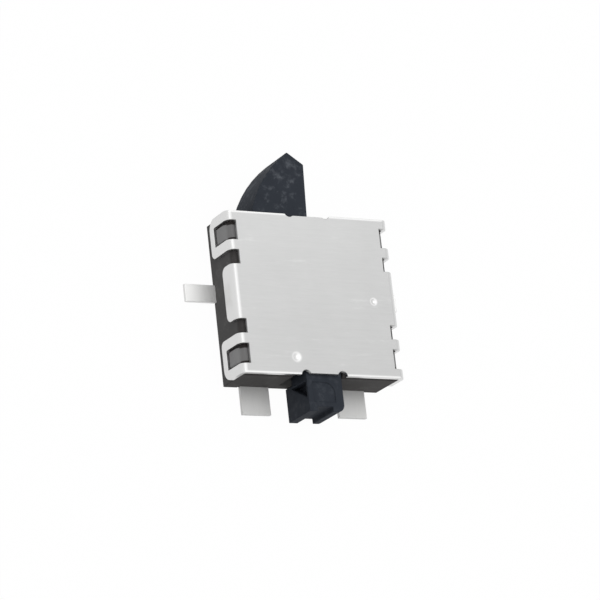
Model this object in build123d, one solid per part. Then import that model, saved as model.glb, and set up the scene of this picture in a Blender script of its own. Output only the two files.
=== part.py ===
"""A surface-mount detector switch: a moulded base under a folded sheet cover, with a sliding cam fin.

Millimetres. +X right, +Y towards the fin, +Z up. The origin is on the board plane, under the cover's centre.
Pressing the fin slides it into the housing along -Y, and the tail comes out at the front.
"""
from build123d import *
import os

# Housing
COVER_X = 5.50            # over the side walls of the cover
BODY_Y = 5.00             # base and cover, front to back
HEIGHT = 1.55             # board to the top of the cover
SHEET = 0.15              # cover sheet
BEND = 0.20               # outside radius of the cover's bends
BEND_IN = 0.05            # inside radius of the cover's bends
WALL = 0.35               # base walls
FLOOR = 0.40              # base floor
EDGE_CHAMFER = 0.08       # base's top edges, clear of the cover's bends

# Cover cut-outs
SKIRT_Z = 0.42            # lower edge of the corner tabs
TAB_W = 1.22              # width of a corner tab
FLAP_HALF_Y = 0.85        # middle flap, half its width
FLAP_Z = 0.94             # lower edge of the middle flap
CUT_IN = 0.32             # how far the side cut-outs reach into the top, from the outer wall
WINDOW_IN = 0.60          # centre of a window, from the end of its tab
WINDOW_W = 0.60           # width of a window
WINDOW_Z = 0.66           # sill of a window
TAB_OUTER_R = 0.35        # corner radius of a tab at its outer end
TAB_INNER_R = 0.18        # corner radius of a tab at its inner end
FLAP_R = 0.22             # corner radius of the middle flap
WINDOW_R = 0.06           # corner radius of a window
NOTCH_X = 0.61            # half-round notches in the front and back edges
NOTCH_R = 0.16
NOTCH_FRONT_DEPTH = 0.15
NOTCH_BACK_DEPTH = 0.09
EDGE_RECESS = 0.05        # front and back edges between the notches
DIMPLES = ((-0.885, -1.965, 0.14), (1.95, -0.13, 0.10))   # place and radius
DIMPLE_DEPTH = 0.035

# Snap lugs
LUG_GAP = 0.07            # window to lug, each side
LUG_OUT = 0.09            # how far a lug stands out of the base
LUG_FLAT_TOP = 1.18       # where the lug's ramp begins

# Slider
CLEAR = 0.05              # running clearance of the slider in the base
FIN_CLEAR = 0.065         # fin to the sides of its opening
TOP_CLEAR = 0.03          # slider to cover
TRAVEL = 1.70             # stroke of the slider
FIN_LEFT = -1.78          # fin root
FIN_RIGHT = 0.09
FIN_SHOULDER = (0.165, 1.67)   # across, and out of the back wall, as the two below
FIN_TIP = (-0.355, 2.03)
FIN_ARC_MID = (-1.12, 1.30)
FIN_TIP_R = 0.04
FIN_BOTTOM = 0.03         # underside of the fin and the tail
FIN_ROOT_IN = 0.05        # how far the thick fin reaches into the back wall at rest
SHANK_X = 0.05           # centre line of shank, tail and spring
SHANK_W = 1.18
TAIL_LENGTH = 1.03
TAIL_STOP = 0.02          # tail to front wall at rest
TAIL_CORNER_R = 0.22
TAIL_GROOVE_W = 0.51
TAIL_GROOVE_DEPTH = 0.15
TAIL_GROOVE_LEFT = 0.05   # groove and panel, left of the centre line
POCKET_RIB = 0.09          # tail's left side: rib, then a three-cornered pocket
POCKET_LENGTH = 0.50
POCKET_DEPTH = 0.28
POCKET_LOW = 0.40
POCKET_ROOF = 0.09
PANEL_HALF_X = 0.37       # shallow panel on the tail
PANEL_MARGIN = 0.13
PANEL_DEPTH = 0.04
PANEL_R = 0.33
WING_DEPTH = 0.70         # wings that carry the wipers, front to back
WING_Z = 0.62             # underside of the wings
WING_GUIDE = 0.07         # wing end to cavity wall

# Spring and its post
SPRING_SLOT_W = 0.60
SPRING_ROOF = 0.17        # slider left above the spring
SPRING_OD = 0.50
SPRING_WIRE = 0.08
SPRING_TURNS = 16
WIRE_ARCS = 12            # arcs in the wire's round section
SPRING_SEAT = 0.01        # spring to its seats
SPRING_END_IN = 0.25      # slot end that the spring pushes, from the back wall's inner face
POST_DEPTH = 0.35
POST_TOP = 1.10
POST_CLEAR = 0.04         # post to the slot's sides and front end

# Terminals and contacts
PLATE = 0.12              # terminal sheet
SIDE_PAD_Y = (0.08, 0.62)
SIDE_PAD_OUT = 1.00       # side pads, out of the base
FRONT_PAD_X = 1.63        # centre of a front pad
FRONT_PAD_W = 0.95
FRONT_PAD_OUT = 0.85      # front pads, out of the base
RISER = 0.25              # how far inside the base's outer face a terminal steps up
COMMON_W = 0.375          # long contact strip, from a side pad
COMMON_OVER = 0.305       # how far the long strip lies behind the front pad's outer end
COMMON_MARGIN = 0.20      # long strip's end to the front wall's inner face
MAKE_W = 0.27             # short contact strip, from a front pad
MAKE_POINT = 0.58         # stroke at which the fingers reach the short strip
WIPER_SHEET = 0.08
WIPER_GAP = 0.02          # contact point above its strip
FINGER_W = 0.24
FINGER_REACH = 0.42
FINGER_NOSE = 0.06        # rounded end past the contact point
WIPER_ROOM = 0.27         # finger end to the front wall at full stroke
WIPER_EDGE = 0.10         # bridge to the wing's front and back
WIPER_INSET = 0.03        # bridge to the wing's end

# Front wall
OPENING_LEFT = 0.40       # extra opening beside the tail
FOOT_W = 0.45             # corner feet of the front wall
FOOT_RELIEF = 0.04

# Worked out from the above
BODY_X = COVER_X - 2 * SHEET
UNDER_COVER = HEIGHT - SHEET
FRONT = -BODY_Y / 2
BACK = BODY_Y / 2
CAVITY_X = BODY_X / 2 - WALL
CAVITY_FRONT = FRONT + WALL
CAVITY_BACK = BACK - WALL
SLIDER_TOP = UNDER_COVER - TOP_CLEAR
SLIDER_FLOOR = FLOOR + CLEAR
SHANK_LEFT = SHANK_X - SHANK_W / 2
SHANK_RIGHT = SHANK_X + SHANK_W / 2
FIN_ROOT_Y = BACK - FIN_ROOT_IN
FINGER_TIP_Y = CAVITY_FRONT + TRAVEL + WIPER_ROOM + FINGER_NOSE
WIPER_FRONT_Y = FINGER_TIP_Y + FINGER_REACH
WING_FRONT = WIPER_FRONT_Y - WIPER_EDGE
WING_BACK = WING_FRONT + WING_DEPTH
WING_END_X = CAVITY_X - WING_GUIDE
MAKE_END_Y = FINGER_TIP_Y - MAKE_POINT
WINDOW_Y = BACK - WINDOW_IN
SIDE_TIP_X = BODY_X / 2 + SIDE_PAD_OUT
TAIL_Y = FRONT - TAIL_STOP
TAIL_END = TAIL_Y - TAIL_LENGTH
POST_Y = CAVITY_FRONT + POST_DEPTH
SLOT_FRONT = CAVITY_FRONT - POST_CLEAR
SPRING_ROOM_TOP = SLIDER_TOP - SPRING_ROOF
SPRING_END_Y = CAVITY_BACK - SPRING_END_IN
SPRING_Z = (SLIDER_FLOOR + SPRING_ROOM_TOP) / 2


def block(x0, x1, y0, y1, z0, z1):
    """A box between two corners."""
    size = Box(abs(x1 - x0), abs(y1 - y0), abs(z1 - z0))
    return Pos((x0 + x1) / 2, (y0 + y1) / 2, (z0 + z1) / 2) * size


def edges_at(shape, axis, **place):
    """The shape's straight edges along one axis that lie at the given coordinates."""
    found = shape.edges().filter_by(axis)
    for name, value in place.items():
        found = found.filter_by(lambda edge: abs(getattr(edge.center(), name) - value) < 1e-4)
    return found


def side_outline():
    """The outline of one side wall of the cover, seen along X, as a sketch on YZ."""
    wall_h = HEIGHT - SKIRT_Z
    outline = Pos(0, (HEIGHT + FLAP_Z) / 2) * Rectangle(2 * FLAP_HALF_Y, HEIGHT - FLAP_Z)
    outline = fillet(outline.vertices().group_by(Axis.Y)[0], FLAP_R)
    for side in (-1, 1):
        tab = Pos(side * (BACK - TAB_W / 2), SKIRT_Z + wall_h / 2) * Rectangle(TAB_W, wall_h)
        low = tab.vertices().group_by(Axis.Y)[0].sort_by(Axis.X)
        inner = low[0] if side > 0 else low[-1]
        tab = fillet(inner, TAB_INNER_R)
        outer = tab.vertices().group_by(Axis.X)[-1 if side > 0 else 0].sort_by(Axis.Y)[0]
        tab = fillet(outer, TAB_OUTER_R)
        window = Pos(side * WINDOW_Y, WINDOW_Z + HEIGHT / 2) * RectangleRounded(WINDOW_W, HEIGHT, WINDOW_R)
        outline = outline + tab - window
    return Plane.YZ * outline


def make_cover():
    """The folded sheet: a top with four windowed corner tabs and two middle flaps."""
    shell = block(-COVER_X / 2, COVER_X / 2, FRONT, BACK, 0, HEIGHT)
    shell = fillet(edges_at(shell, Axis.Y, Z=HEIGHT), BEND)
    hollow = block(-BODY_X / 2, BODY_X / 2, FRONT - 1, BACK + 1, -1, UNDER_COVER)
    hollow = fillet(edges_at(hollow, Axis.Y, Z=UNDER_COVER), BEND_IN)
    shell = shell - hollow
    top_half = COVER_X / 2 - CUT_IN
    cover = shell & block(-top_half, top_half, FRONT, BACK, 0, HEIGHT)
    for side in (-1, 1):
        zone = extrude(side_outline(), amount=side * COVER_X)
        edge = block(side * top_half, side * COVER_X / 2, FRONT, BACK, 0, HEIGHT)
        cover = cover + (shell & edge & zone)
    for end, depth in ((-1, NOTCH_FRONT_DEPTH), (1, NOTCH_BACK_DEPTH)):
        rim = end * BODY_Y / 2
        recess = block(-NOTCH_X, NOTCH_X, rim - end * EDGE_RECESS, rim + end, UNDER_COVER, HEIGHT)
        cover = cover - recess
        for side in (-1, 1):
            centre_y = rim + end * (NOTCH_R - depth)
            cover = cover - Pos(side * NOTCH_X, centre_y, HEIGHT) * Cylinder(NOTCH_R, 4 * SHEET)
    for x, y, radius in DIMPLES:
        ball_r = (radius ** 2 + DIMPLE_DEPTH ** 2) / (2 * DIMPLE_DEPTH)
        cover = cover - Pos(x, y, HEIGHT - DIMPLE_DEPTH + ball_r) * Sphere(ball_r)
    return cover


def make_lug(side, end):
    """One snap lug, with a ramp that the cover rides over."""
    face = side * BODY_X / 2
    out = side * (BODY_X / 2 + LUG_OUT)
    root = side * (BODY_X / 2 - WALL / 2)
    low = WINDOW_Z + LUG_GAP
    profile = Polyline((root, low), (out, low), (out, LUG_FLAT_TOP), (face, UNDER_COVER - EDGE_CHAMFER),
                       (root, UNDER_COVER - EDGE_CHAMFER), close=True)
    width = WINDOW_W - 2 * LUG_GAP
    plane = Plane.XZ.offset(-(end * WINDOW_Y) - width / 2)
    return extrude(plane * make_face(profile), amount=width)


def make_base(terminals):
    """The moulded base: floor, walls, lugs, spring post, and openings for fin and tail."""
    base = block(-BODY_X / 2, BODY_X / 2, FRONT, BACK, 0, UNDER_COVER)
    base = chamfer(base.edges().group_by(Axis.Z)[-1], EDGE_CHAMFER)
    base = base - block(-CAVITY_X, CAVITY_X, CAVITY_FRONT, CAVITY_BACK, FLOOR, HEIGHT)
    fin_left = FIN_LEFT - FIN_CLEAR
    fin_right = FIN_SHOULDER[0] + FIN_CLEAR
    keel_front = FIN_ROOT_Y - TRAVEL - 2 * CLEAR
    base = base - block(fin_left, fin_right, keel_front, BACK + 1, -1, HEIGHT)
    tail_left = SHANK_LEFT - OPENING_LEFT
    base = base - block(tail_left, SHANK_RIGHT + CLEAR, FRONT - 1, CAVITY_FRONT, FLOOR, HEIGHT)
    feet = BODY_X / 2 - FOOT_W
    base = base - block(-feet, feet, FRONT - 1, FRONT + FOOT_RELIEF, -1, FOOT_RELIEF)
    half_post = SPRING_SLOT_W / 2 - POST_CLEAR
    post = block(SHANK_X - half_post, SHANK_X + half_post, CAVITY_FRONT, POST_Y, FLOOR / 2, POST_TOP)
    base = base + post
    for side in (-1, 1):
        for end in (-1, 1):
            base = base + make_lug(side, end)
    for terminal in terminals:
        base = base - terminal
    return base


def fin_outline():
    """The fin seen from above: a straight side, a cut corner and one long curved flank."""
    tip = (FIN_TIP[0], BACK + FIN_TIP[1])
    middle = (FIN_ARC_MID[0], BACK + FIN_ARC_MID[1])
    flank = ThreePointArc(tip, middle, (FIN_LEFT, BACK))
    straight = Polyline((FIN_LEFT, BACK), (FIN_LEFT, FIN_ROOT_Y), (FIN_RIGHT, FIN_ROOT_Y),
                        (FIN_SHOULDER[0], BACK + FIN_SHOULDER[1]), tip)
    return make_face(flank + straight)


def tail_pocket():
    """The three-cornered hollow in the tail's left side."""
    start_y = TAIL_Y - POCKET_RIB
    roof_z = SLIDER_TOP - POCKET_ROOF
    end_y = start_y - POCKET_LENGTH
    corners = Polyline((start_y, POCKET_LOW), (start_y, roof_z), (end_y, roof_z), close=True)
    return extrude(Plane.YZ.offset(SHANK_LEFT - 1) * make_face(corners), amount=1 + POCKET_DEPTH)


def tail_block():
    """The block outside the front wall, with a groove in its end and a shallow panel on top."""
    tail = block(SHANK_LEFT, SHANK_RIGHT, TAIL_END, TAIL_Y, FIN_BOTTOM, SLIDER_TOP)
    tail = fillet(edges_at(tail, Axis.Z, X=SHANK_RIGHT, Y=TAIL_END), TAIL_CORNER_R)
    half_groove = TAIL_GROOVE_W / 2
    groove_x = SHANK_X - TAIL_GROOVE_LEFT
    groove_y = TAIL_END + TAIL_GROOVE_DEPTH
    groove = block(groove_x - half_groove, groove_x + half_groove, TAIL_END - 1, groove_y, -1, HEIGHT)
    panel_y = (groove_y + TAIL_Y) / 2
    panel_l = TAIL_LENGTH - TAIL_GROOVE_DEPTH - 2 * PANEL_MARGIN
    panel = Pos(groove_x, panel_y) * Rectangle(2 * PANEL_HALF_X, panel_l)
    corner = panel.vertices().sort_by(Axis.X)[-2:].sort_by(Axis.Y)[-1]
    panel = Plane.XY.offset(SLIDER_TOP - PANEL_DEPTH) * fillet(corner, PANEL_R)
    tail = tail - groove - extrude(panel, amount=PANEL_DEPTH * 2)
    return tail - tail_pocket()


def make_slider():
    """Fin, body, wings, shank and tail, moulded in one."""
    fin = extrude(Plane.XY.offset(FIN_BOTTOM) * fin_outline(), amount=SLIDER_TOP - FIN_BOTTOM)
    fin = fillet(edges_at(fin, Axis.Z, X=FIN_TIP[0], Y=BACK + FIN_TIP[1]), FIN_TIP_R)
    neck = block(FIN_LEFT, FIN_RIGHT, CAVITY_BACK - CLEAR, FIN_ROOT_Y, SLIDER_FLOOR, SLIDER_TOP)
    body = block(FIN_LEFT, SHANK_RIGHT, WING_BACK, CAVITY_BACK - CLEAR, SLIDER_FLOOR, SLIDER_TOP)
    wings = block(-WING_END_X, WING_END_X, WING_FRONT, WING_BACK, WING_Z, SLIDER_TOP)
    shank = block(SHANK_LEFT, SHANK_RIGHT, TAIL_Y, WING_BACK, SLIDER_FLOOR, SLIDER_TOP)
    slot_left = SHANK_X - SPRING_SLOT_W / 2
    slot_right = SHANK_X + SPRING_SLOT_W / 2
    slot = block(slot_left, slot_right, SLOT_FRONT, SPRING_END_Y, 0, SPRING_ROOM_TOP)
    return fin + neck + body + wings + shank + tail_block() - slot


def make_spring():
    """The return spring, between the post and the end of the slider's slot."""
    start = POST_Y + SPRING_SEAT + SPRING_WIRE / 2
    length = SPRING_END_Y - SPRING_SEAT - SPRING_WIRE / 2 - start
    radius = (SPRING_OD - SPRING_WIRE) / 2
    path = Helix(pitch=length / SPRING_TURNS, height=length, radius=radius)
    span = 360 / WIRE_ARCS
    arcs = [CenterArc((0, 0), SPRING_WIRE / 2, step * span, span) for step in range(WIRE_ARCS)]
    section = Plane(origin=path @ 0, z_dir=path % 0) * make_face(arcs)
    coil = sweep(section, path=path, is_frenet=True)
    return Pos(SHANK_X, start, SPRING_Z) * (Rot(-90, 0, 0) * coil)


def make_wiper(side):
    """A sprung contact under one wing: a bridge with two fingers that slope down to the strips."""
    outer_x = WING_END_X - WIPER_INSET
    inner_x = FRONT_PAD_X - FRONT_PAD_W / 2
    low = WING_Z - WIPER_SHEET
    bridge = block(side * inner_x, side * outer_x, WIPER_FRONT_Y, WING_BACK - WIPER_EDGE, low, WING_Z)
    tip_z = FLOOR + WIPER_GAP
    nose = FINGER_NOSE
    profile = Polyline((WIPER_FRONT_Y, WING_Z), (WIPER_FRONT_Y, low),
                       (FINGER_TIP_Y + nose, tip_z), (FINGER_TIP_Y, tip_z),
                       (FINGER_TIP_Y - nose, tip_z + nose), (FINGER_TIP_Y - nose, tip_z + nose + WIPER_SHEET),
                       (FINGER_TIP_Y, tip_z + WIPER_SHEET), (FINGER_TIP_Y + nose, tip_z + WIPER_SHEET),
                       close=True)
    wiper = bridge
    for x in (inner_x + FINGER_W / 2, outer_x - FINGER_W / 2):
        finger = extrude(Plane.YZ.offset(side * x - FINGER_W / 2) * make_face(profile), amount=FINGER_W)
        wiper = wiper + finger
    return wiper


def make_side_terminal(side):
    """A side pad that steps up inside the floor into the long common strip."""
    low_y, high_y = SIDE_PAD_Y
    riser_out = BODY_X / 2 - RISER + PLATE / 2
    riser_in = riser_out - PLATE
    pad = block(side * riser_in, side * SIDE_TIP_X, low_y, high_y, 0, PLATE)
    riser = block(side * riser_in, side * riser_out, low_y, high_y, 0, FLOOR)
    strip_in = FRONT_PAD_X + FRONT_PAD_W / 2 - COMMON_OVER
    strip_out = strip_in + COMMON_W
    bridge = block(side * strip_in, side * riser_out, low_y, high_y, FLOOR - PLATE, FLOOR)
    strip_end = CAVITY_FRONT + COMMON_MARGIN
    strip = block(side * strip_in, side * strip_out, strip_end, high_y, FLOOR - PLATE, FLOOR)
    return pad + riser + bridge + strip


def make_front_terminal(side):
    """A front pad that steps up inside the floor into the short make strip."""
    inner_x = FRONT_PAD_X - FRONT_PAD_W / 2
    outer_x = FRONT_PAD_X + FRONT_PAD_W / 2
    riser_out = FRONT + RISER - PLATE / 2
    riser_in = riser_out + PLATE
    pad = block(side * inner_x, side * outer_x, FRONT - FRONT_PAD_OUT, riser_in, 0, PLATE)
    riser = block(side * inner_x, side * outer_x, riser_out, riser_in, 0, FLOOR)
    strip = block(side * inner_x, side * (inner_x + MAKE_W), riser_out, MAKE_END_Y, FLOOR - PLATE, FLOOR)
    return pad + riser + strip


def main():
    """Build every piece and write one STEP for each."""
    os.makedirs("parts", exist_ok=True)
    terminals = {}
    for side, name in ((-1, "left"), (1, "right")):
        terminals["terminal_side_" + name] = make_side_terminal(side)
        terminals["terminal_front_" + name] = make_front_terminal(side)
    pieces = dict(terminals)
    pieces["base"] = make_base(terminals.values())
    pieces["cover"] = make_cover()
    pieces["slider"] = make_slider()
    pieces["return_spring"] = make_spring()
    pieces["wiper_left"] = make_wiper(-1)
    pieces["wiper_right"] = make_wiper(1)
    for name, piece in pieces.items():
        export_step(piece, os.path.join("parts", name + ".step"))


main()
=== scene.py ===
"""Looks for a surface-mount detector switch: sheet cover, moulded base, sliding cam fin, flat terminals.

Pieces are shaped in millimetres and brought down to the frame's metres when they are finished.
"""
import math

import bpy
from mathutils import Matrix, Vector


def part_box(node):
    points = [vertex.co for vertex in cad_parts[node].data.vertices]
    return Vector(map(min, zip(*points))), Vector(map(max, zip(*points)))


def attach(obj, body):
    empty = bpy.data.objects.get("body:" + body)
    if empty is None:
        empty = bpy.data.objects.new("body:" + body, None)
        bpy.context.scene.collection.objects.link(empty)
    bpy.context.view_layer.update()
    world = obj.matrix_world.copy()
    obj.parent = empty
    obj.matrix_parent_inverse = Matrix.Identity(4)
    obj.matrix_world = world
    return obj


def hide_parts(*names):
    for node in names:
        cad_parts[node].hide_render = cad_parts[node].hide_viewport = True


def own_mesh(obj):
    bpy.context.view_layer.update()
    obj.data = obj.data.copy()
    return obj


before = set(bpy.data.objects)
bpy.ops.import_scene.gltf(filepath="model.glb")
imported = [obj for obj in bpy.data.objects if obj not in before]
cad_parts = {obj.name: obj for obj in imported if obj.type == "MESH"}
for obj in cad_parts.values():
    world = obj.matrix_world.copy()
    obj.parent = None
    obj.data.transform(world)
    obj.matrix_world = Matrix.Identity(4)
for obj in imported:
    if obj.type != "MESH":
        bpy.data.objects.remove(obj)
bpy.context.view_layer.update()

MM = 0.001

# Edge rounding, in millimetres
COVER_EDGE = 0.022
BASE_EDGE = 0.030
SLIDER_EDGE = 0.040
TERMINAL_EDGE = 0.014
WIPER_EDGE = 0.010
EDGE_STEPS = 3
SHARPER_THAN = math.radians(44)

# Return spring, in millimetres
WIRE = 0.08
OPEN_TURNS = 14
CLOSED_TURNS = 1.25
POINTS_PER_TURN = 24

# Cover: place and radius of each punch mark, where a painted highlight is laid, in millimetres
PUNCH_MARKS = ((-0.885, -1.965, 0.18), (1.95, -0.13, 0.14))

# Base: its snap lugs and the cover's windows round them, in millimetres
LUG_OUT = 0.09
LUG_Y = 1.90
LUG_HALF_Y = 0.23
LUG_TOP = 1.18
WINDOW_SILL = 0.66

# Colours, each pair from its darkest tone to its lightest
SHEET_TONES = ((0.300, 0.300, 0.298), (0.560, 0.562, 0.560))
# Painted highlight laid on the cover's bends, rims and punch marks
SHEET_HIGHLIGHT = (0.740, 0.740, 0.736)
BASE_TONES = ((0.090, 0.089, 0.088), (0.150, 0.148, 0.147))
BASE_DUST = (0.185, 0.182, 0.180)
SHADED_PLASTIC = (0.026, 0.021, 0.020)
# Painted highlight on the snap lugs
LUG_HIGHLIGHT = (0.45, 0.45, 0.452)
SLIDER_TONES = ((0.018, 0.022, 0.030), (0.046, 0.053, 0.066))
SLIDER_DUST = (0.125, 0.136, 0.155)
# One tin plating as lit and shaded copies: painted light on the side pads, painted shade on the front pads
PAINTED_LIT_PLATING = ((0.93, 0.93, 0.92), (1.0, 1.0, 0.99))
PAINTED_SHADE_PLATING = ((0.56, 0.56, 0.555), (0.76, 0.76, 0.75))
CONTACT_PLATING = ((0.62, 0.58, 0.50), (0.86, 0.83, 0.76))
WIRE_TONES = ((0.42, 0.41, 0.39), (0.72, 0.70, 0.66))

# How far along the slider its dust patches go from faint to full, in millimetres
DUST_RISE = (0.5, 3.4)
FAINT_DUST_SHARE = 0.24
FULL_DUST_SHARE = 0.74

# Lamp, in millimetres and watts
KEY_PLACE = (10, 70, 250)
KEY_SIZE = 300
KEY_WATTS = 0.19

# Sky and floor
SKY_LIGHT = 0.62
SKY_SEEN = 1.0
FLOOR_PAINT = (0.32, 0.32, 0.32, 1)
FLOOR_GLOW = 1.08
GLOW_SHARE = 0.90
FLOOR_DROP = 0.01

# Camera, in millimetres
LENS = 200
SENSOR = 36
VIEW_WIDTH = 17.78
VIEW_CENTRE = (-0.480, -0.163)
VIEW_RIGHT = Vector((0.8772, -0.1067, 0.4677))
VIEW_UP = Vector((-0.0466, 0.9514, 0.3041))


class Value:
    """One output of a shader node, which Python expressions can work on."""

    def __init__(self, finish, socket):
        self.finish = finish
        self.socket = socket

    def math(self, operation, first, second=0.0):
        made = self.finish.node("ShaderNodeMath", {"operation": operation}, {0: first, 1: second})
        return Value(self.finish, made.outputs[0])

    def __add__(self, other):
        return self.math("ADD", self, other)

    def __radd__(self, other):
        return self.math("ADD", other, self)

    def __sub__(self, other):
        return self.math("SUBTRACT", self, other)

    def __rsub__(self, other):
        return self.math("SUBTRACT", other, self)

    def __mul__(self, other):
        return self.math("MULTIPLY", self, other)

    def __rmul__(self, other):
        return self.math("MULTIPLY", other, self)

    def bigger(self, other):
        return self.math("MAXIMUM", self, other)

    def size(self):
        return self.math("ABSOLUTE", self)

    def step(self, low, high):
        """0 below low, 1 above high, and a smooth rise between."""
        settings = {"interpolation_type": "SMOOTHSTEP"}
        values = {"Value": self, "From Min": low, "From Max": high}
        made = self.finish.node("ShaderNodeMapRange", settings, values)
        return Value(self.finish, made.outputs["Result"])


class Finish:
    """A material, its shader and the nodes that feed it. Patterns are laid out in millimetres."""

    def __init__(self, name, metallic, specular=0.5):
        self.material = bpy.data.materials.new(name)
        self.material.use_nodes = True
        self.tree = self.material.node_tree
        self.tree.nodes.clear()
        self.shader = self.tree.nodes.new("ShaderNodeBsdfPrincipled")
        self.shader.inputs["Metallic"].default_value = metallic
        self.shader.inputs["Specular IOR Level"].default_value = specular
        output = self.tree.nodes.new("ShaderNodeOutputMaterial")
        self.tree.links.new(self.shader.outputs["BSDF"], output.inputs["Surface"])
        object_place = self.node("ShaderNodeTexCoord").outputs["Object"]
        self.place = self.scaled(Value(self, object_place), (1 / MM, 1 / MM, 1 / MM))
        axes = self.node("ShaderNodeSeparateXYZ", {}, {"Vector": self.place})
        self.x, self.y, self.z = (Value(self, axis) for axis in axes.outputs)

    def node(self, kind, settings=None, values=None):
        """Any node: its settings first, then the values or links of its sockets."""
        made = self.tree.nodes.new(kind)
        for name, setting in (settings or {}).items():
            if name == "stops":
                self.set_stops(made.color_ramp, setting)
            else:
                setattr(made, name, setting)
        for name, value in (values or {}).items():
            if isinstance(value, Value):
                self.tree.links.new(value.socket, made.inputs[name])
            else:
                made.inputs[name].default_value = value
        return made

    def set_stops(self, ramp, stops):
        """A ramp's stops, as (place, grey)."""
        while len(ramp.elements) < len(stops):
            ramp.elements.new(1.0)
        for element, (place, grey) in zip(ramp.elements, stops):
            element.position = place
            element.color = (grey, grey, grey, 1.0)

    def scaled(self, vector, scale, turn=(0, 0, 0)):
        made = self.node("ShaderNodeMapping", {}, {"Vector": vector, "Scale": scale, "Rotation": turn})
        return Value(self, made.outputs["Vector"])

    def noise(self, scale, detail=3.0, stretch=(1, 1, 1), roughness=0.5, turn=(0, 0, 0)):
        """Noise from 0 to 1, with scale cells to the millimetre."""
        vector = self.scaled(self.place, stretch, turn)
        values = {"Vector": vector, "Scale": scale, "Detail": detail, "Roughness": roughness}
        return Value(self, self.node("ShaderNodeTexNoise", {}, values).outputs[0])

    def specks(self, scale, share):
        """1 on scattered small spots that cover about that share of the surface, 0 between them."""
        values = {"Vector": self.place, "Scale": scale}
        spots = self.node("ShaderNodeTexVoronoi", {}, values)
        return 1.0 - Value(self, spots.outputs["Distance"]).step(share * 0.5, share)

    def blend(self, factor, low, high):
        """A colour from low to high."""
        values = {"Factor": factor}
        made = self.node("ShaderNodeMix", {"data_type": "RGBA"}, values)
        for socket, colour in ((made.inputs[6], low), (made.inputs[7], high)):
            if isinstance(colour, Value):
                self.tree.links.new(colour.socket, socket)
            else:
                socket.default_value = (*colour, 1.0)
        return Value(self, made.outputs[2])

    def feed(self, **sockets):
        """Links what varies over the surface to the shader."""
        for name, value in sockets.items():
            self.tree.links.new(value.socket, self.shader.inputs[name.replace("_", " ")])

    def relief(self, height, depth, strength=1.0):
        """Height from 0 to 1 raised by depth millimetres, as small relief."""
        values = {"Height": height, "Distance": depth * MM, "Strength": strength}
        self.feed(Normal=Value(self, self.node("ShaderNodeBump", {}, values).outputs["Normal"]))


def cover_finish():
    """Satin rolled sheet: fine streaks across, with painted highlights on the bends, the rims and the punch
    marks.
    """
    finish = Finish("satin_sheet", 1.0)
    streaks = finish.noise(9.0, 5.0, (0.06, 1.0, 1.0), 0.62)
    fine = finish.noise(30.0, 4.0, (0.09, 1.0, 1.0), 0.7, (0.0, 0.0, 0.05))
    clouds = finish.noise(0.7, 3.0)
    flecks = finish.noise(3.6, 6.0, (0.16, 1.0, 1.0), 0.70, (0.0, 0.0, -0.10)).step(0.58, 0.70)
    half_x, half_y = (side * 0.5 / MM for side in box_size("cover")[:2])
    # Painted highlight: the colour goes lighter along the bends, the rims and round the punch marks
    bend = finish.x.size().step(half_x - 0.22, half_x - 0.08)
    rim = finish.y.size().step(half_y - 0.09, half_y - 0.02)
    painted_light = bend.bigger(rim)
    for x, y, radius in PUNCH_MARKS:
        across = finish.x - x
        along = finish.y - y
        away = (across * across + along * along).step((radius * 0.3) ** 2, (radius * 1.1) ** 2)
        painted_light = painted_light.bigger(1.0 - away)
    back = finish.y.step(-half_y, half_y)
    tone = 0.26 + 0.24 * streaks + 0.20 * fine + 0.22 * clouds + 0.12 * back + 0.16 * flecks
    sheet = finish.blend(tone, *SHEET_TONES)
    colour = finish.blend(painted_light * 0.85, sheet, SHEET_HIGHLIGHT)
    finish.feed(Base_Color=colour, Roughness=0.30 + 0.12 * streaks + 0.06 * clouds - 0.08 * painted_light)
    finish.relief(0.5 * streaks + 0.5 * fine, 0.0012, 0.6)
    return finish.material


def base_painted_light(finish, colour):
    """Painted shade under the cover's edges, on the end walls and in the windows round the snap lugs, and a
    painted highlight on the lugs.
    """
    half_x, half_y = (side * 0.5 / MM for side in box_size("base")[:2])
    wall = half_x - LUG_OUT
    # Painted shade: darker on the end walls and just under the cover's edge
    ends = finish.y.size().step(half_y - 0.04, half_y - 0.01)
    under = finish.z.step(LUG_TOP, LUG_TOP + 0.16)
    colour = finish.blend(ends * 0.40, colour, SHADED_PLASTIC)
    colour = finish.blend(under * 0.65, colour, SHADED_PLASTIC)
    # Painted shade in the cover's windows, round each lug
    from_lug = (finish.y.size() - LUG_Y).size()
    beside = from_lug.step(LUG_HALF_Y - 0.05, LUG_HALF_Y - 0.02)
    above = finish.z.step(WINDOW_SILL - 0.04, WINDOW_SILL)
    outer = above * finish.x.size().step(wall - 0.35, wall - 0.33)
    window = outer * (1.0 - from_lug.step(LUG_HALF_Y + 0.10, LUG_HALF_Y + 0.12))
    colour = finish.blend(window * 0.75, colour, SHADED_PLASTIC)
    # Painted highlight: the lugs' faces are lighter, less so just under the cover
    lug = above * finish.x.size().step(wall - 0.22, wall - 0.18) * (1.0 - beside)
    raised = finish.x.size().step(wall, wall + 0.04)
    return finish.blend(lug.bigger(raised) * (0.80 - 0.34 * under), colour, LUG_HIGHLIGHT)


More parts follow.
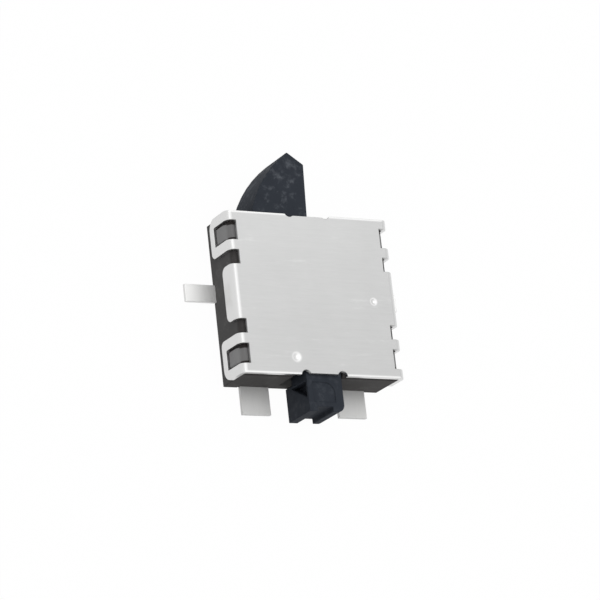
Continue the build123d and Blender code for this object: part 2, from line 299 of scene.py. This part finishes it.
def plastic_finish(name, tones, dust, painted_light=None, dust_rise=None):
    """Matt moulded plastic with a fine grain, a mottled tone and a little dust, then any painted light and
    shade of its own.
    """
    finish = Finish(name, 0.0, 0.10)
    mottle = finish.noise(1.6, 4.0, roughness=0.6)
    patches = finish.noise(2.6, 5.0, roughness=0.7).step(0.48, 0.70)
    grain = finish.noise(38.0, 2.0)
    tone = 0.10 + 0.60 * mottle + 0.25 * grain
    dust_share = FULL_DUST_SHARE
    # Dust patches fade out toward -Y on the slider
    if dust_rise:
        dust_share = FAINT_DUST_SHARE + (FULL_DUST_SHARE - FAINT_DUST_SHARE) * finish.y.step(*dust_rise)
    colour = finish.blend(patches * dust_share, finish.blend(tone, *tones), dust)
    if painted_light:
        colour = painted_light(finish, colour)
    finish.feed(Base_Color=colour, Roughness=0.58 + 0.14 * mottle + 0.08 * grain)
    finish.relief(grain, 0.0022, 0.7)
    return finish.material


def plated_finish(name, tones):
    """Plated strip: soft rolling lines, small pores and a duller film in places."""
    finish = Finish(name, 0.45)
    lines = finish.noise(16.0, 4.0, (1.0, 0.12, 1.0), 0.6)
    film = finish.noise(2.2, 4.0)
    pores = finish.specks(14.0, 0.20)
    tone = 0.15 + 0.40 * lines + 0.50 * film - 0.15 * pores
    finish.feed(Base_Color=finish.blend(tone, *tones), Roughness=0.36 + 0.16 * film + 0.08 * lines)
    finish.relief(lines - 0.4 * pores, 0.0012, 0.6)
    return finish.material


def wire_finish():
    """Drawn spring wire with fine bright and dull bands."""
    finish = Finish("drawn_wire", 1.0)
    bands = finish.noise(20.0, 3.0)
    finish.feed(Base_Color=finish.blend(bands, *WIRE_TONES), Roughness=0.22 + 0.18 * bands)
    finish.relief(bands, 0.0008, 0.5)
    return finish.material


def box_size(node):
    low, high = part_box(node)
    return [b - a for a, b in zip(low, high)]


def only(piece):
    """Selects one object and nothing else."""
    bpy.ops.object.select_all(action="DESELECT")
    piece.select_set(True)
    bpy.context.view_layer.objects.active = piece


def apply_all(piece):
    only(piece)
    for modifier in list(piece.modifiers):
        bpy.ops.object.modifier_apply(modifier=modifier.name)


def place(piece, body, slot, material, *nodes):
    """Gives a finished piece its body, finish and CAD nodes."""
    piece.data.materials.clear()
    piece.data.materials.append(material)
    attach(piece, body)
    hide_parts(*nodes)
    return piece


def merged_copy(node, name):
    """A copy of a CAD node in millimetres, its triangles joined back into flat faces."""
    piece = bpy.data.objects.new(name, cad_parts[node].data.copy())
    bpy.context.scene.collection.objects.link(piece)
    piece.data.transform(Matrix.Scale(1 / MM, 4))
    only(piece)
    bpy.ops.object.mode_set(mode="EDIT")
    bpy.ops.mesh.select_all(action="SELECT")
    bpy.ops.mesh.customdata_custom_splitnormals_clear()
    bpy.ops.mesh.remove_doubles(threshold=0.0005)
    bpy.ops.mesh.dissolve_limited(angle_limit=math.radians(0.6))
    bpy.ops.object.mode_set(mode="OBJECT")
    return piece


def soften(piece, width):
    """Rounds the sharp edges and evens out the shading."""
    bevel = piece.modifiers.new("edges", "BEVEL")
    bevel.width = width
    bevel.segments = EDGE_STEPS
    bevel.limit_method = "ANGLE"
    bevel.angle_limit = SHARPER_THAN
    bevel.use_clamp_overlap = True
    apply_all(piece)
    bpy.ops.object.shade_smooth_by_angle(angle=math.radians(50))
    weigh = piece.modifiers.new("shading", "WEIGHTED_NORMAL")
    weigh.keep_sharp = True
    apply_all(piece)
    piece.data.transform(Matrix.Scale(MM, 4))
    return piece


def rounded(node, name, width, body, slot, material):
    """A CAD node's shape with its edges rounded as the real piece has them."""
    piece = soften(merged_copy(node, name), width)
    return place(piece, body, slot, material, node)


def spring_piece(material):
    """The return spring: open coils between two closed ends, wound about a line along Y."""
    low, high = (Vector(corner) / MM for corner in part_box("return_spring"))
    middle = (low + high) / 2
    radius = (high.x - low.x - WIRE) / 2
    start = low.y + WIRE / 2
    length = high.y - low.y - WIRE
    closed_length = CLOSED_TURNS * WIRE
    turns = OPEN_TURNS + 2 * CLOSED_TURNS
    count = round(turns * POINTS_PER_TURN)
    curve = bpy.data.curves.new("spring_line", "CURVE")
    curve.dimensions = "3D"
    curve.bevel_depth = WIRE / 2
    curve.bevel_resolution = 3
    curve.use_fill_caps = True
    line = curve.splines.new("POLY")
    line.points.add(count)
    for index, point in enumerate(line.points):
        turn = turns * index / count
        if turn < CLOSED_TURNS:
            along = turn * WIRE
        elif turn > turns - CLOSED_TURNS:
            along = length - (turns - turn) * WIRE
        else:
            along = closed_length + (length - 2 * closed_length) * (turn - CLOSED_TURNS) / OPEN_TURNS
        angle = 2 * math.pi * turn
        x = middle.x + radius * math.cos(angle)
        z = middle.z + radius * math.sin(angle)
        point.co = (x, start + along, z, 1)
    piece = bpy.data.objects.new("coil_spring", curve)
    bpy.context.scene.collection.objects.link(piece)
    only(piece)
    bpy.ops.object.convert(target="MESH")
    piece = bpy.context.view_layer.objects.active
    bpy.ops.object.shade_smooth()
    piece.data.transform(Matrix.Scale(MM, 4))
    place(piece, "housing", "spring_wire", material, "return_spring")
    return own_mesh(piece)


def make_camera():
    """A long lens over the left front corner, turned a little in its own plane."""
    back = VIEW_RIGHT.cross(VIEW_UP).normalized()
    up = back.cross(VIEW_RIGHT).normalized()
    right = up.cross(back)
    distance = VIEW_WIDTH * LENS / SENSOR
    top = Vector((0, 0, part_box("cover")[1][2] / MM))
    target = top + right * VIEW_CENTRE[0] + up * VIEW_CENTRE[1]
    data = bpy.data.cameras.new("camera")
    data.lens = LENS
    data.sensor_width = SENSOR
    data.clip_start = 0.005
    data.clip_end = 5.0
    camera = bpy.data.objects.new("camera", data)
    turn = Matrix((right, up, back)).transposed().to_4x4()
    camera.matrix_world = Matrix.Translation((target + back * distance) * MM) @ turn
    bpy.context.scene.collection.objects.link(camera)
    bpy.context.scene.camera = camera


def make_lamp(name, place_mm, size_mm, watts):
    """A soft square lamp aimed at the switch."""
    data = bpy.data.lights.new(name, "AREA")
    data.shape = "SQUARE"
    data.size = size_mm * MM
    data.energy = watts
    lamp = bpy.data.objects.new(name, data)
    place_m = Vector(place_mm) * MM
    turn = (-place_m).to_track_quat("-Z", "Y").to_matrix().to_4x4()
    lamp.matrix_world = Matrix.Translation(place_m) @ turn
    bpy.context.scene.collection.objects.link(lamp)


def seen_directly(tree):
    """1 for rays from the camera, from gloss or through glass, 0 for light."""
    path = tree.nodes.new("ShaderNodeLightPath")
    total = None
    for name in ("Is Camera Ray", "Is Glossy Ray", "Is Transmission Ray"):
        if total is None:
            total = path.outputs[name]
            continue
        add = tree.nodes.new("ShaderNodeMath")
        add.operation = "MAXIMUM"
        tree.links.new(total, add.inputs[0])
        tree.links.new(path.outputs[name], add.inputs[1])
        total = add.outputs[0]
    return total


def make_surroundings():
    """A pale floor that keeps the shadow, an even sky, and a soft lamp."""
    bpy.ops.object.select_all(action="DESELECT")
    bpy.ops.mesh.primitive_plane_add(size=1.0, location=(0, 0, -FLOOR_DROP * MM))
    floor = bpy.context.view_layer.objects.active
    floor.name = "floor"
    material = bpy.data.materials.new("pale_floor")
    material.use_nodes = True
    tree = material.node_tree
    tree.nodes.clear()
    paint = tree.nodes.new("ShaderNodeBsdfDiffuse")
    paint.inputs["Color"].default_value = FLOOR_PAINT
    glow = tree.nodes.new("ShaderNodeEmission")
    glow.inputs["Strength"].default_value = FLOOR_GLOW
    share = tree.nodes.new("ShaderNodeMath")
    share.operation = "MULTIPLY"
    share.inputs[1].default_value = GLOW_SHARE
    tree.links.new(seen_directly(tree), share.inputs[0])
    mix = tree.nodes.new("ShaderNodeMixShader")
    output = tree.nodes.new("ShaderNodeOutputMaterial")
    tree.links.new(share.outputs[0], mix.inputs[0])
    tree.links.new(paint.outputs[0], mix.inputs[1])
    tree.links.new(glow.outputs[0], mix.inputs[2])
    tree.links.new(mix.outputs[0], output.inputs["Surface"])
    floor.data.materials.append(material)

    world = bpy.data.worlds.new("sky")
    bpy.context.scene.world = world
    world.use_nodes = True
    tree = world.node_tree
    tree.nodes.clear()
    light = tree.nodes.new("ShaderNodeBackground")
    light.inputs["Strength"].default_value = SKY_LIGHT
    seen = tree.nodes.new("ShaderNodeBackground")
    seen.inputs["Strength"].default_value = SKY_SEEN
    for background in (light, seen):
        background.inputs["Color"].default_value = (1, 1, 1, 1)
    mix = tree.nodes.new("ShaderNodeMixShader")
    output = tree.nodes.new("ShaderNodeOutputWorld")
    tree.links.new(seen_directly(tree), mix.inputs[0])
    tree.links.new(light.outputs[0], mix.inputs[1])
    tree.links.new(seen.outputs[0], mix.inputs[2])
    tree.links.new(mix.outputs[0], output.inputs["Surface"])

    make_lamp("key", KEY_PLACE, KEY_SIZE, KEY_WATTS)


def make_pieces():
    """Every visible piece, on its body."""
    base_plastic = plastic_finish("base_plastic", BASE_TONES, BASE_DUST, painted_light=base_painted_light)
    slider_plastic = plastic_finish("slider_plastic", SLIDER_TONES, SLIDER_DUST, dust_rise=DUST_RISE)
    # The same plating, lighter on the side pads and darker on the front pads, as painted light and shade
    painted_lit_plate = plated_finish("plating_painted_lit", PAINTED_LIT_PLATING)
    painted_shade_plate = plated_finish("plating_painted_shade", PAINTED_SHADE_PLATING)
    contact_plate = plated_finish("contact_plating", CONTACT_PLATING)
    rounded("cover", "sheet_cover", COVER_EDGE, "housing", "cover_sheet", cover_finish())
    rounded("base", "moulded_base", BASE_EDGE, "housing", "base_plastic", base_plastic)
    rounded("slider", "cam_slider", SLIDER_EDGE, "slider", "slider_plastic", slider_plastic)
    pads = (("terminal_side_", "side_pad_", painted_lit_plate), ("terminal_front_", "front_pad_", painted_shade_plate))
    for side in ("left", "right"):
        for node, name, plate in pads:
            rounded(node + side, name + side, TERMINAL_EDGE, "housing", "terminal_plating", plate)
        rounded("wiper_" + side, "contact_" + side, WIPER_EDGE, "slider", "contact_sheet", contact_plate)
    spring_piece(wire_finish())


make_camera()
make_surroundings()
make_pieces()
bpy.context.scene.view_settings.view_transform = "Standard"
bpy.context.view_layer.update()
